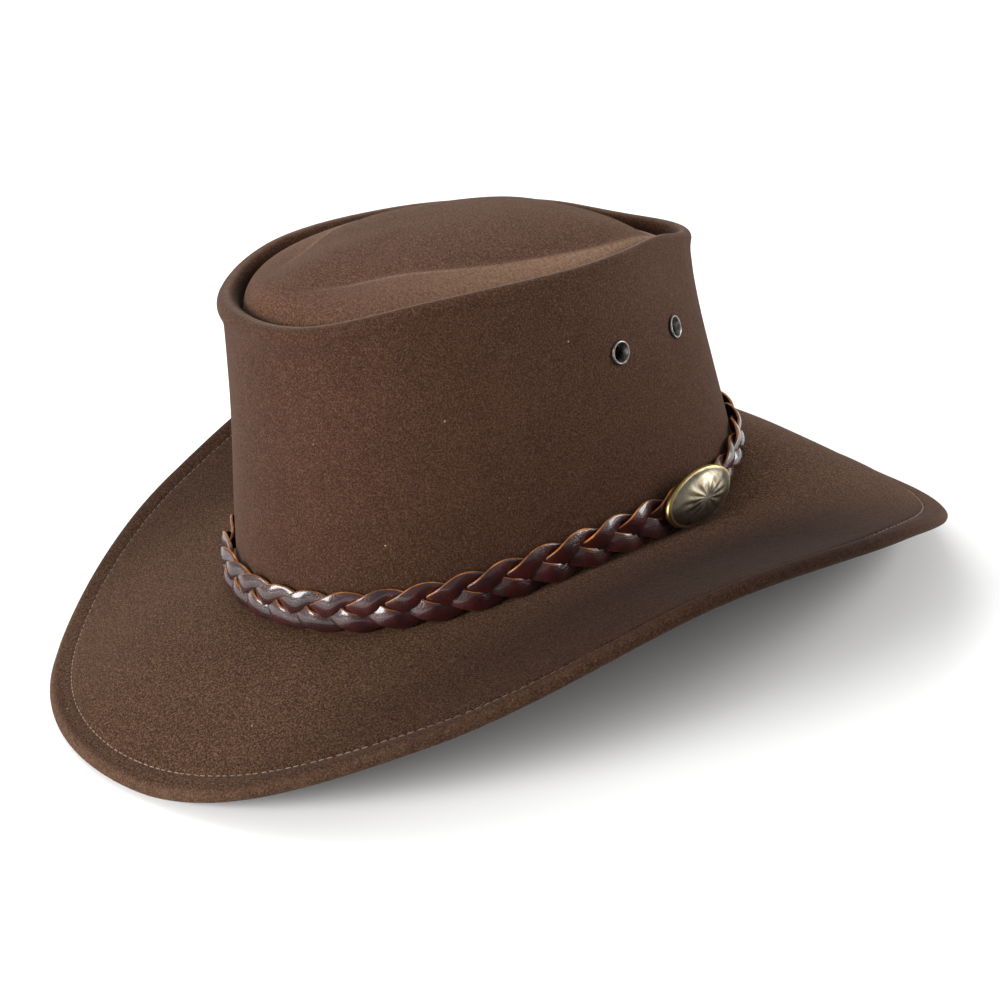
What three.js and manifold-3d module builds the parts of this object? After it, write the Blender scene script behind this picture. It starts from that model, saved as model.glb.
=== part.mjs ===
// A brown suede outback hat with a curled brim, a domed crown inside a rolled rim,
// a plaited leather band, an oval metal badge and four vent eyelets.
// Millimetres, Z up. The front of the hat faces -Y and the wearer's left is +X.
// The origin lies on the floor, under the middle of the brim's outline.

import * as THREE from 'three';
import { mergeVertices } from 'three/addons/utils/BufferGeometryUtils.js';
import Module from 'manifold-3d';

// Ovals seen from above: half lengths to the front and back, half width, how much the corners
// are filled out in front and behind, how much wider the front half is than the back half, and
// how far the oval is moved towards the back.
const crownCentreY = 2.5;
const crownBase = {
	front: 103.8, back: 102.6, side: 80.5, corner: 0.03, backCorner: 0.042, egg: 0.002, shiftY: 0,
};
const crownRim = {
	front: 89.5, back: 93.2, side: 72.1, corner: 0.05, backCorner: - 0.09, egg: 0.076, shiftY: 3.8,
};
const domeRidge = {
	front: 73.7, back: 81.8, side: 55.1, corner: - 0.147, backCorner: 0.004, egg: - 0.028,
	shiftY: 0.15,
};
const brimEdge = {
	front: 185, back: 177.5, side: 168.9, corner: 0.004, backCorner: 0.012, egg: - 0.028,
	shiftY: 1.2,
};

// One row for each direction, as degrees from the front; the two sides of the hat are alike.
// Heights above the floor of the hem's middle, the crown's foot and the middle of the rim's roll,
// the roll's radius, how far the dome's ridge lies above the roll's middle, and how steeply the
// dome's side starts, as a share of its height.
const directions = [
	{ angle: 0, hem: 0.2, foot: 30.7, rim: 136.5, roll: 4.2, ridgeUp: 10.9, steep: 0.89 },
	{ angle: 30, hem: 5, foot: 31, rim: 137.8, roll: 4, ridgeUp: 9.8, steep: 1.07 },
	{ angle: 60, hem: 31.9, foot: 34.1, rim: 144.4, roll: 3, ridgeUp: 6.3, steep: 0.8 },
	{ angle: 90, hem: 59, foot: 39.7, rim: 144.7, roll: 2.4, ridgeUp: 4.3, steep: 0.66 },
	{ angle: 120, hem: 46.8, foot: 41.6, rim: 140.9, roll: 2.5, ridgeUp: 2.9, steep: 0.7 },
	{ angle: 150, hem: 14.7, foot: 47.1, rim: 131.7, roll: 3, ridgeUp: 2.9, steep: 0.7 },
	{ angle: 180, hem: - 1, foot: 49.4, rim: 128.5, roll: 3.3, ridgeUp: 3.1, steep: 0.7 },
];
const rowStep = 30;
const aroundSteps = 64;

// The crown's wall leans in, hollow at half height and a little fuller below than above. Its rows
// are shares of its height, and it meets the rim's roll within a short reach of the roll's middle.
const wall = {
	thickness: 2, hollow: - 0.52, belly: 0.53, rimInset: 0.25, rimReach: 2.2,
	rows: [ 0, 0.25, 0.5, 0.75, 0.93 ], innerRows: [ 0.93, 0.5, 0.2, 0 ],
};
// The rim's roll and the leg sewn to the dome in the gutter, with the arcs in degrees.
const fold = {
	thickness: 1.8, gutter: 9, seam: 4,
	outerArc: [ - 25, 15, 55, 90, 125, 170 ], innerArc: [ 170, 90, 10 ],
};
const dome = { thickness: 1.8, apex: 158.1, apexY: 3.6, fullness: 2.34, rows: [ 0.38, 0.72 ] };
const seamGap = 0.3;

// The brim's rows from the crown (0) to the edge (1), and its curl: the power of the rise.
const brim = {
	thickness: 2.4, rows: [ 0.02, 0.3, 0.62 ], curl: 1.45,
	collarHeight: 8, collarThickness: 1.8,
};
// Rows of the puffed hem: distance in from the outer edge and half its thickness there.
const hem = [
	{ inward: 8.6, half: 1.2 },
	{ inward: 6, half: 1.9 },
	{ inward: 3.2, half: 2.7 },
	{ inward: 1, half: 2.1 },
	{ inward: 0, half: 0.6 },
];

// The plait: strap section, sideways swing of a strap, its rise in two waves, and the tilt of the
// strap in three waves, in turns of one, three and five to a period. It is drawn a little tighter
// on the wearer's left, round a share of the way from the front.
const plait = {
	strands: 3, periods: 13, stepsPerPeriod: 12,
	strapWidth: 5.2, strapThickness: 1.2, thickness: 5.9,
	swing: 5.6, rise: [ 2, - 0.2 ], tilt: [ 0.16, 0.17, 0.12 ],
	lift: 8.4, standOff: 3.3,
	tightening: 0.0066, tightAt: 0.16,
};
// The band and badge stand square to the wall at this share of its height.
const bandShare = 0.04;

// The badge faces a little towards the front, and its back end is raised.
const badge = { angle: 117.3, lift: 9.65, turn: 2.9, spin: 3.5, halfLength: 17.7, sides: 28 };
// Its rows along the half height, from the middle of its back to the middle of its face.
const badgeRows = [
	{ radius: 0, height: 0 },
	{ radius: 9.2, height: 0 },
	{ radius: 10, height: 0.6 },
	{ radius: 10, height: 1.8 },
	{ radius: 9.5, height: 2.7 },
	{ radius: 8.2, height: 3.7 },
	{ radius: 6, height: 4.8 },
	{ radius: 3.2, height: 5.8 },
	{ radius: 0, height: 6.2 },
];

const eyelet = {
	flange: 4.65, bore: 2.5, barrel: 3.1, backFlange: 4.2, crown: 1, crownInset: 0.9,
	lip: 0.4, backThickness: 0.6, sides: 12, drillLength: 12,
};
const eyeletHole = eyelet.barrel + seamGap;
const eyeletHeight = 0.69;
const eyelets = [
	{ name: 'eyelet_left_front', angle: 105.9 },
	{ name: 'eyelet_left_back', angle: 130.3 },
	{ name: 'eyelet_right_front', angle: - 105.9 },
	{ name: 'eyelet_right_back', angle: - 130.3 },
];

const suede = { color: 0x4e3c30, roughness: 0.95, metalness: 0 };
const suedeTop = { color: 0x5a473a, roughness: 0.95, metalness: 0 };
const leather = { color: 0x3a1512, roughness: 0.35, metalness: 0 };
const brass = { color: 0x8a7648, roughness: 0.35, metalness: 1 };
const nickel = { color: 0xb8b6b0, roughness: 0.3, metalness: 1 };

const wasm = await Module();
wasm.setup();

// Smooth value of a column of the directions table at any angle, in radians from the front.
function at( column, t ) {

	const turn = THREE.MathUtils.radToDeg( Math.acos( Math.cos( t ) ) ) / rowStep;
	const last = directions.length - 1;
	const i = Math.min( Math.floor( turn ), last - 1 );
	const f = turn - i;
	const value = ( k ) => directions[ last - Math.abs( last - Math.abs( k ) ) ][ column ];
	const slope = ( k ) => ( value( k + 1 ) - value( k - 1 ) ) / 2;
	const a = value( i );
	const b = value( i + 1 );
	const bend = ( 3 * ( b - a ) - 2 * slope( i ) - slope( i + 1 ) ) * f * f;
	return a + slope( i ) * f + bend + ( 2 * ( a - b ) + slope( i ) + slope( i + 1 ) ) * f * f * f;

}

// A point of an oval seen from above.
function onOval( oval, t ) {

	const inFront = Math.cos( t ) > 0;
	const full = 1 + ( inFront ? oval.corner : oval.backCorner ) * Math.sin( 2 * t ) ** 2;
	const reach = inFront ? oval.front : oval.back;
	const x = oval.side * Math.sin( t ) * full * ( 1 + oval.egg * Math.cos( t ) );
	return new THREE.Vector2( x, crownCentreY + oval.shiftY - reach * Math.cos( t ) * full );

}

// The level direction square to an oval, pointing away from the crown.
function outward( oval, t ) {

	const step = 0.01;
	const along = onOval( oval, t + step ).sub( onOval( oval, t - step ) );
	return new THREE.Vector2( along.y, - along.x ).normalize();

}

function lifted( plan, z ) {

	return new THREE.Vector3( plan.x, plan.y, z );

}

// The upward direction square to a sloping run, in the upright plane through it.
function squareAbove( run ) {

	const level = Math.hypot( run.x, run.y );
	const square = new THREE.Vector3( - run.x * run.z / level, - run.y * run.z / level, level );
	return square.normalize();

}

// The crown's outer face at a share of its height.
function wallPoint( t, share ) {

	const foot = onOval( crownBase, t );
	const reach = at( 'roll', t ) - wall.rimInset;
	const top = onOval( crownRim, t );
	top.addScaledVector( outward( crownRim, t ), Math.min( reach, wall.rimReach ) );
	const fuller = wall.belly * Math.sin( 2 * Math.PI * share );
	const bow = wall.hollow * 4 * share * ( 1 - share ) + fuller;
	const plan = foot.clone().lerp( top, share ).addScaledVector( outward( crownBase, t ), bow );
	return lifted( plan, THREE.MathUtils.lerp( at( 'foot', t ), at( 'rim', t ), share ) );

}

// Position, outward direction and upward direction on the crown's outer face.
function wallFrame( t, share ) {

	const step = 0.01;
	const point = wallPoint( t, share );
	const up = wallPoint( t, share + step ).sub( wallPoint( t, share - step ) ).normalize();
	const along = wallPoint( t + step, share ).sub( wallPoint( t - step, share ) ).normalize();
	const out = along.clone().cross( up ).normalize();
	return { point, out, up: out.clone().cross( along ), along };

}

// Closed rings of points joined in turn. Each section is a closed loop, and so is their row.
function ringSolid( sections ) {

	const size = sections[ 0 ].length;
	const positions = sections.flat().flatMap( ( p ) => [ p.x, p.y, p.z ] );
	const index = [];
	for ( let i = 0; i < sections.length; i ++ ) {

		const here = i * size;
		const next = ( ( i + 1 ) % sections.length ) * size;
		for ( let j = 0; j < size; j ++ ) {

			const k = ( j + 1 ) % size;
			index.push( here + j, next + j, next + k );
			index.push( here + j, next + k, here + k );

		}

	}

	return indexed( positions, index );

}

function indexed( positions, index ) {

	const geometry = new THREE.BufferGeometry();
	geometry.setAttribute( 'position', new THREE.Float32BufferAttribute( positions, 3 ) );
	geometry.setIndex( index );
	geometry.computeVertexNormals();
	return geometry;

}

function aroundAngles() {

	return Array.from( { length: aroundSteps }, ( _, i ) => i * 2 * Math.PI / aroundSteps );

}

function toManifold( geometry ) {

	const bare = geometry.clone();
	bare.deleteAttribute( 'normal' );
	bare.deleteAttribute( 'uv' );
	const merged = mergeVertices( bare, 1e-4 );
	const vertProperties = new Float32Array( merged.attributes.position.array );
	const triVerts = new Uint32Array( merged.index.array );
	return new wasm.Manifold( new wasm.Mesh( { numProp: 3, vertProperties, triVerts } ) );

}

function fromManifold( solid ) {

	const mesh = solid.getMesh();
	return indexed( Array.from( mesh.vertProperties ), Array.from( mesh.triVerts ) );

}

// Brim: a sheet from under the crown's foot to the hem, with its inner edge turned up.
function brimSection( t ) {

	const foot = onOval( crownBase, t );
	const edge = onOval( brimEdge, t );
	const out = outward( crownBase, t );
	const reach = foot.distanceTo( edge );
	const seat = at( 'foot', t ) - seamGap;
	const rise = at( 'hem', t ) - seat + brim.thickness / 2;
	const middle = ( share ) => {

		const z = seat - brim.thickness / 2 + rise * share ** brim.curl;
		return lifted( foot.clone().lerp( edge, share ), z );

	};

	const face = ( share, offset ) => {

		const step = 0.02;
		const run = middle( share ).sub( middle( Math.max( share - step, 0 ) ) );
		const point = middle( share ).addScaledVector( squareAbove( run ), offset );
		point.z = Math.max( 0, point.z );
		return point;

	};

	const half = brim.thickness / 2;
	const collar = ( depth, height ) => {

		const point = wallPoint( t, height / ( at( 'rim', t ) - at( 'foot', t ) ) );
		point.addScaledVector( lifted( out, 0 ), - wall.thickness - seamGap - depth );
		return point.setZ( seat + height );

	};

	const rows = brim.rows.map( ( share ) => ( { share, half } ) );
	rows.push( ...hem.map( ( row ) => ( { share: 1 - row.inward / reach, half: row.half } ) ) );
	const top = rows.map( ( row ) => face( row.share, row.half ) ).reverse();
	const bottom = rows.map( ( row ) => face( row.share, - row.half ) );
	return [
		collar( brim.collarThickness, brim.collarHeight ),
		collar( brim.collarThickness, - brim.thickness ),
		...bottom,
		...top,
		collar( 0, 0 ),
		collar( 0, brim.collarHeight ),
	];

}

// Crown side: up the wall, over the rim's roll, down into the gutter and back inside.
function sideSection( t ) {

	const out = outward( crownBase, t );
	const rimOut = outward( crownRim, t );
	const rimPlan = onOval( crownRim, t );
	const rim = at( 'rim', t );
	const roll = at( 'roll', t );
	const outer = wall.rows.map( ( share ) => wallPoint( t, share ) );
	const inner = wall.innerRows.map( ( share ) => {

		const point = wallPoint( t, share );
		return point.add( lifted( out.clone().multiplyScalar( - wall.thickness ), 0 ) );

	} );
	const arc = ( radius, degrees ) => {

		const turn = THREE.MathUtils.degToRad( degrees );
		const plan = rimPlan.clone().addScaledVector( rimOut, radius * Math.cos( turn ) );
		return lifted( plan, rim + radius * Math.sin( turn ) );

	};

	const seamBottom = - fold.gutter - fold.seam;
	const legOuter = rimPlan.clone().addScaledVector( rimOut, - roll );
	const legInner = rimPlan.clone().addScaledVector( rimOut, - roll + fold.thickness );
	return [
		...outer,
		...fold.outerArc.map( ( degrees ) => arc( roll, degrees ) ),
		lifted( legOuter, rim - fold.gutter ),
		lifted( legOuter, rim + seamBottom ),
		lifted( legInner, rim + seamBottom ),
		...fold.innerArc.map( ( degrees ) => arc( roll - fold.thickness, degrees ) ),
		...inner,
	];

}

// Crown tip: a seam turned down in the gutter, the dome's curved side, its ridge and its top.
function tipRings( t ) {

	const rim = at( 'rim', t );
	const rimPlan = onOval( crownRim, t );
	const inward = outward( crownRim, t ).negate();
	const start = at( 'roll', t ) + seamGap;
	const step = ( inset, z ) => lifted( rimPlan.clone().addScaledVector( inward, inset ), z );
	const gutter = rim - fold.gutter;
	const low = step( start, gutter );
	const ridge = lifted( onOval( domeRidge, t ), rim + at( 'ridgeUp', t ) );
	const control = low.clone().setZ( THREE.MathUtils.lerp( low.z, ridge.z, at( 'steep', t ) ) );
	const side = new THREE.QuadraticBezierCurve3( low, control, ridge ).getPoint( 0.5 );
	const apex = new THREE.Vector3( 0, dome.apexY, dome.apex );
	const onTop = ( share ) => {

		const point = apex.clone().lerp( ridge, share );
		point.z = apex.z + ( ridge.z - apex.z ) * share ** dome.fullness;
		return point;

	};

	const top = [ ...dome.rows.map( onTop ), ridge, side ];
	const line = [ apex, ...top, low ];
	const under = top.map( ( point, i ) => {

		const run = line[ i + 2 ].clone().sub( line[ i ] );
		return point.clone().addScaledVector( squareAbove( run ), - dome.thickness );

	} ).reverse();
	const seamBottom = gutter - fold.seam;
	const inside = start + dome.thickness;
	return [
		...top,
		low,
		step( start, seamBottom ),
		step( inside, seamBottom ),
		step( inside, gutter ),
		...under,
	];

}

// Rings closed by a fan to one point above and one point below.
function cappedRings( sections, topPoint, bottomPoint ) {

	const size = sections[ 0 ].length;
	const positions = sections.flat().flatMap( ( p ) => [ p.x, p.y, p.z ] );
	const top = sections.length * size;
	const bottom = top + 1;
	positions.push( ...topPoint.toArray(), ...bottomPoint.toArray() );
	const index = [];
	for ( let i = 0; i < sections.length; i ++ ) {

		const here = i * size;
		const next = ( ( i + 1 ) % sections.length ) * size;
		for ( let j = 0; j < size - 1; j ++ ) {

			index.push( here + j, here + j + 1, next + j + 1 );
			index.push( here + j, next + j + 1, next + j );

		}

		index.push( top, here, next );
		index.push( bottom, next + size - 1, here + size - 1 );

	}

	return indexed( positions, index );

}

// Middle line of the band, with the crown's outward and upward directions at each point of it.
function bandLine() {

	const fine = 360;
	const points = Array.from( { length: fine }, ( _, i ) => {

		const t = i * 2 * Math.PI / fine;
		const frame = wallFrame( t, bandShare );
		const foot = wallPoint( t, 0 );
		return foot.addScaledVector( frame.out, plait.standOff ).addScaledVector( frame.up, plait.lift );

	} );
	return new THREE.CatmullRomCurve3( points, true );

}

// One strap of the plait: it swings from side to side and dips under its neighbours.
function strandSections( line, number ) {

	const steps = plait.periods * plait.stepsPerPeriod;
	const period = line.getLength() / plait.periods;
	const up = new THREE.Vector3();
	return Array.from( { length: steps }, ( _, i ) => {

		const share = i / steps;
		const drawn = share + plait.tightening * Math.sin( 2 * Math.PI * ( share - plait.tightAt ) );
		const phase = 2 * Math.PI * ( drawn * plait.periods + number / plait.strands );
		const point = line.getPointAt( share );
		const along = line.getTangentAt( share );
		const angle = Math.atan2( point.x / crownBase.side, - ( point.y - crownCentreY ) / crownBase.front );
		up.copy( wallFrame( angle, bandShare ).up );
		const out = along.clone().cross( up ).normalize();
		const lay = out.clone().cross( along ).normalize();
		const slope = 2 * Math.PI * plait.swing / period * Math.cos( phase );
		const half = plait.strapWidth / 2 * Math.hypot( 1, slope );
		const rise = plait.rise[ 0 ] * Math.sin( 2 * phase ) + plait.rise[ 1 ] * Math.sin( 4 * phase );
		const [ one, three, five ] = plait.tilt;
		const tilt = one * Math.cos( phase ) + three * Math.cos( 3 * phase ) + five * Math.cos( 5 * phase );
		const corner = ( side, face ) => point.clone()
			.addScaledVector( lay, plait.swing * Math.sin( phase ) + side * half )
			.addScaledVector( out, rise + tilt * side * half + face * plait.strapThickness / 2 );
		return [ corner( - 1, - 1 ), corner( - 1, 1 ), corner( 1, 1 ), corner( 1, - 1 ) ];

	} );

}

// A domed oval, flat behind, lying in its own XY plane and facing +Z.
function badgeGeometry() {

	const profile = badgeRows.map( ( row ) => new THREE.Vector2( row.radius, row.height ) );
	const halfHeight = Math.max( ...badgeRows.map( ( row ) => row.radius ) );
	const geometry = new THREE.LatheGeometry( profile, badge.sides );
	geometry.rotateX( Math.PI / 2 );
	geometry.scale( badge.halfLength / halfHeight, 1, 1 );
	return geometry;

}

// An eyelet: a rounded flange outside, a barrel through the wall and a rolled flange inside.
// Its axis is Z, and the wall's outer face is at z = 0.
function eyeletGeometry() {

	const outside = seamGap;
	const inside = - wall.thickness - seamGap;
	const rows = [
		[ eyelet.bore, inside - eyelet.backThickness ],
		[ eyelet.backFlange, inside - eyelet.backThickness ],
		[ eyelet.backFlange, inside ],
		[ eyelet.barrel, inside ],
		[ eyelet.barrel, outside ],
		[ eyelet.flange, outside ],
		[ eyelet.flange - eyelet.crownInset, outside + eyelet.crown ],
		[ eyelet.bore, outside + eyelet.lip ],
	];
	const profile = rows.map( ( [ x, y ] ) => new THREE.Vector2( x, y ) );
	profile.push( profile[ 0 ].clone() );
	const geometry = new THREE.LatheGeometry( profile, eyelet.sides );
	geometry.rotateX( Math.PI / 2 );
	return geometry;

}

function standOn( object, frame ) {

	const basis = new THREE.Matrix4().makeBasis( frame.along, frame.up, frame.out );
	object.quaternion.setFromRotationMatrix( basis );
	object.position.copy( frame.point );

}

function piece( name, geometry, finish ) {

	const mesh = new THREE.Mesh( geometry, new THREE.MeshStandardMaterial( finish ) );
	mesh.name = name;
	return mesh;

}

function crownSide() {

	let solid = toManifold( ringSolid( aroundAngles().map( sideSection ) ) );
	const drill = new THREE.CylinderGeometry( eyeletHole, eyeletHole, eyelet.drillLength, eyelet.sides );
	drill.rotateX( Math.PI / 2 );
	for ( const { angle } of eyelets ) {

		const cutter = piece( 'cutter', drill.clone(), nickel );
		standOn( cutter, wallFrame( THREE.MathUtils.degToRad( angle ), eyeletHeight ) );
		cutter.updateMatrix();
		cutter.geometry.applyMatrix4( cutter.matrix );
		solid = solid.subtract( toManifold( cutter.geometry ) );

	}

	return piece( 'crown_side', fromManifold( solid ), suede );

}

function crownTip() {

	const apex = new THREE.Vector3( 0, dome.apexY, dome.apex );
	const below = apex.clone().add( new THREE.Vector3( 0, 0, - dome.thickness ) );
	return piece( 'crown_tip', cappedRings( aroundAngles().map( tipRings ), apex, below ), suedeTop );

}

function badgePiece() {

	const t = THREE.MathUtils.degToRad( badge.angle );
	const frame = wallFrame( t, bandShare );
	const foot = wallPoint( t, 0 );
	const clearOfBand = plait.standOff + plait.thickness / 2 + seamGap;
	frame.point = foot.addScaledVector( frame.up, badge.lift ).addScaledVector( frame.out, clearOfBand );
	const mesh = piece( 'badge', badgeGeometry(), brass );
	standOn( mesh, frame );
	mesh.rotateY( THREE.MathUtils.degToRad( - badge.turn ) );
	mesh.rotateZ( THREE.MathUtils.degToRad( badge.spin ) );
	return mesh;

}

function hat() {

	const group = new THREE.Group();
	group.add( piece( 'brim', ringSolid( aroundAngles().map( brimSection ) ), suede ) );
	group.add( crownSide() );
	group.add( crownTip() );
	const line = bandLine();
	for ( let number = 0; number < plait.strands; number ++ ) {

		const geometry = ringSolid( strandSections( line, number ) );
		group.add( piece( `band_strand_${ number + 1 }`, geometry, leather ) );

	}

	group.add( badgePiece() );
	for ( const { name, angle } of eyelets ) {

		const ring = piece( name, eyeletGeometry(), nickel );
		standOn( ring, wallFrame( THREE.MathUtils.degToRad( angle ), eyeletHeight ) );
		group.add( ring );

	}

	return group;

}

export default hat();
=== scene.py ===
import math
import random

import bmesh
import bpy
from mathutils import Matrix, Vector, noise


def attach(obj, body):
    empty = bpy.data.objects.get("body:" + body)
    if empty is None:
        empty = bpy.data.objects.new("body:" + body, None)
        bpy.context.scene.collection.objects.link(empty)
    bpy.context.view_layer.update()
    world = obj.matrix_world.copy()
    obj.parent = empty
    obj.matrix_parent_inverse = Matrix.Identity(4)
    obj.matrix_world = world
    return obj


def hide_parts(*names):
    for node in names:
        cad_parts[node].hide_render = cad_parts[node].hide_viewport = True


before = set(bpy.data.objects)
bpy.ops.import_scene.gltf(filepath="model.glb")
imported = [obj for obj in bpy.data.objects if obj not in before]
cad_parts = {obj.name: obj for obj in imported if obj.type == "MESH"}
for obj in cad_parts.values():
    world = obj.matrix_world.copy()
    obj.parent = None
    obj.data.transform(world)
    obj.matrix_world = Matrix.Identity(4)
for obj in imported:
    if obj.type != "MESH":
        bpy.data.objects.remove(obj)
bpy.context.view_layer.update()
random.seed(7)
mm = 0.001   # the tables below are in millimetres

# One row for each direction round the hat, in degrees from the front; both sides are alike.
# hem, foot and rim are heights, roll is the rim's radius, ridgeUp the dome's ridge above the rim,
# steep how steeply the dome's side starts.
directions = [
    {"angle": 0, "hem": 0.2, "foot": 30.7, "rim": 136.5, "roll": 4.2, "ridgeUp": 10.9, "steep": 0.89},
    {"angle": 30, "hem": 5, "foot": 31, "rim": 137.8, "roll": 4, "ridgeUp": 9.8, "steep": 1.07},
    {"angle": 60, "hem": 31.9, "foot": 34.1, "rim": 144.4, "roll": 3, "ridgeUp": 6.3, "steep": 0.8},
    {"angle": 90, "hem": 59, "foot": 39.7, "rim": 144.7, "roll": 2.4, "ridgeUp": 4.3, "steep": 0.66},
    {"angle": 120, "hem": 46.8, "foot": 41.6, "rim": 140.9, "roll": 2.5, "ridgeUp": 2.9, "steep": 0.7},
    {"angle": 150, "hem": 14.7, "foot": 47.1, "rim": 131.7, "roll": 3, "ridgeUp": 2.9, "steep": 0.7},
    {"angle": 180, "hem": -1, "foot": 49.4, "rim": 128.5, "roll": 3.3, "ridgeUp": 3.1, "steep": 0.7},
]
rowStep = directions[1]["angle"]   # the rows lie at even steps
nearby = 0.01   # a small step of angle or share, for directions along a surface

# Ovals seen from above: half lengths and half width, how full their corners are in front and
# behind, how egg-shaped they are and how far back they lie.
crownCentreY = 2.5
crownBase = {"front": 103.8, "back": 102.6, "side": 80.5, "corner": 0.03, "backCorner": 0.042,
             "egg": 0.002, "shiftY": 0}
crownRim = {"front": 89.5, "back": 93.2, "side": 72.1, "corner": 0.05, "backCorner": -0.09,
            "egg": 0.076, "shiftY": 3.8}
domeRidge = {"front": 73.7, "back": 81.8, "side": 55.1, "corner": -0.147, "backCorner": 0.004,
             "egg": -0.028, "shiftY": 0.15}
brimEdge = {"front": 185, "back": 177.5, "side": 168.9, "corner": 0.004, "backCorner": 0.012,
            "egg": -0.028, "shiftY": 1.2}


def at(column, t):
    # smooth value of a column at any angle
    turn = degreesFromFront(t) / rowStep
    last = len(directions) - 1
    i = min(int(turn), last - 1)
    f = turn - i

    def value(k):
        return directions[last - abs(last - abs(k))][column]

    def slope(k):
        return (value(k + 1) - value(k - 1)) / 2

    a, b = value(i), value(i + 1)
    bend = (3 * (b - a) - 2 * slope(i) - slope(i + 1)) * f * f
    return a + slope(i) * f + bend + (2 * (a - b) + slope(i) + slope(i + 1)) * f ** 3


def onOval(oval, t):
    inFront = math.cos(t) > 0
    full = 1 + oval["corner" if inFront else "backCorner"] * math.sin(2 * t) ** 2
    reach = oval["front"] if inFront else oval["back"]
    x = oval["side"] * math.sin(t) * full * (1 + oval["egg"] * math.cos(t))
    return Vector((x, crownCentreY + oval["shiftY"] - reach * math.cos(t) * full, 0))


def outward(oval, t):
    along = onOval(oval, t + nearby) - onOval(oval, t - nearby)
    return Vector((along.y, -along.x, 0)).normalized()


def squareAbove(run):
    # the upward direction square to a sloping run, in the upright plane through it
    level = math.hypot(run.x, run.y)
    return Vector((-run.x * run.z / level, -run.y * run.z / level, level)).normalized()


def smoothStep(low, high, value):
    f = max(0, min(1, (value - low) / (high - low)))
    return f * f * (3 - 2 * f)


def bump(centre, width, value):
    return math.exp(-((value - centre) / width) ** 2)


def degreesFromFront(t):
    return math.degrees(math.acos(max(-1, min(1, math.cos(t)))))


def uneven(point, size, seed=0):
    # soft noise from about -1 to 1 whose waves are about this many millimetres long
    return noise.noise(point / size + Vector((seed, 2.3 * seed, 0)), noise_basis="PERLIN_ORIGINAL")


def toObject(name, mesh, smooth=True):
    data = bpy.data.meshes.new(name)
    mesh.to_mesh(data)
    mesh.free()
    if smooth:
        data.shade_smooth()
    piece = bpy.data.objects.new(name, data)
    bpy.context.scene.collection.objects.link(piece)
    return piece


def refine(piece, levels):
    finer = piece.modifiers.new("smoother", "SUBSURF")
    finer.levels = levels
    finer.render_levels = levels


def sewnRing(name, around, section, levels=1):
    # A ring with a closed section: a torus is spun, then each vertex goes where the section puts it.
    rows = len(section(0))
    mesh = bmesh.new()
    stand = Matrix.Translation((1, 0, 0)) @ Matrix.Rotation(math.pi / 2, 4, "X")
    tube = 0.3   # any radius under 1 would do, because every vertex is moved
    bmesh.ops.create_circle(mesh, cap_ends=False, segments=rows, radius=tube, matrix=stand)
    bmesh.ops.spin(mesh, geom=mesh.verts[:] + mesh.edges[:], cent=(0, 0, 0), axis=(0, 0, 1),
                   angle=2 * math.pi, steps=around, use_merge=True)
    wear = mesh.verts.layers.float.new("wear")
    made = {}
    for vert in mesh.verts:
        step = round(math.atan2(vert.co.x, -vert.co.y) / (2 * math.pi) * around) % around
        if step not in made:
            made[step] = section(2 * math.pi * step / around)
        lift = math.atan2(vert.co.z, math.hypot(vert.co.x, vert.co.y) - 1)
        point, worn = made[step][round(lift / (2 * math.pi) * rows) % rows]
        vert.co = point * mm
        vert[wear] = worn
    bmesh.ops.recalc_face_normals(mesh, faces=mesh.faces)
    piece = toObject(name, mesh)
    if levels:
        refine(piece, levels)
    return piece


# what the materials share
def newGroup(name, inputs, outputs):
    group = bpy.data.node_groups.new(name, "ShaderNodeTree")
    for label, kind, value in inputs:
        socket = group.interface.new_socket(label, in_out="INPUT", socket_type="NodeSocket" + kind)
        socket.default_value = value
    for label, kind in outputs:
        group.interface.new_socket(label, in_out="OUTPUT", socket_type="NodeSocket" + kind)
    return group, group.nodes.new("NodeGroupInput").outputs, group.nodes.new("NodeGroupOutput")


def feed(tree, made, sockets):
    # a socket is linked where another socket is given, and set where it is a value
    for key, value in sockets.items():
        if isinstance(value, bpy.types.NodeSocket):
            tree.links.new(value, made.inputs[key])
        else:
            made.inputs[key].default_value = value
    return made


def addNode(tree, kind, sockets=None, **settings):
    made = tree.nodes.new("ShaderNode" + kind)
    for key, value in settings.items():
        setattr(made, key, value)
    return feed(tree, made, sockets or {})


def noiseOf(tree, place, scale, detail=2, rough=0.5):
    sockets = {"Vector": place, "Scale": scale, "Detail": detail, "Roughness": rough}
    return addNode(tree, "TexNoise", sockets).outputs["Fac"]


def spread(tree, value, low, high, toLow=0.0, toHigh=1.0):
    sockets = {"Value": value, "From Min": low, "From Max": high, "To Min": toLow, "To Max": toHigh}
    return addNode(tree, "MapRange", sockets).outputs["Result"]


def calc(tree, operation, a, b=0.5):
    return addNode(tree, "Math", {0: a, 1: b}, operation=operation).outputs[0]


def times(tree, a, b):
    return calc(tree, "MULTIPLY", a, b)


def plus(tree, a, b):
    return calc(tree, "ADD", a, b)


def blendColour(tree, share, a, b, mode="MIX"):
    # sockets 0, 6 and 7 are a colour mix's share and its two colours, and output 2 is its result
    return addNode(tree, "Mix", {0: share, 6: a, 7: b}, data_type="RGBA", blend_type=mode).outputs[2]


def rgb(red, green, blue):
    return (red, green, blue, 1)


suedeNoise = {
    "cloudScale": 16, "patchScale": 85, "low": 0.34, "high": 0.66,   # soft mottling
    "tighter": 2.4, "napShare": 0.6, "fibreShare": 0.4, "speckAt": 0.5, "darkest": 0.4, "palest": 0.62,
    "paleShare": 0.8, "bumpScale": 260, "bumpShare": 0.8,
    "motes": [{"scale": 80.0, "reach": 0.034, "rarity": 0.7}, {"scale": 230.0, "reach": 0.07, "rarity": 0.8}],
    "smallMotes": 0.55, "moteCore": 0.5, "rarityStep": 0.02, "dust": rgb(0.36, 0.27, 0.2),
}


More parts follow.
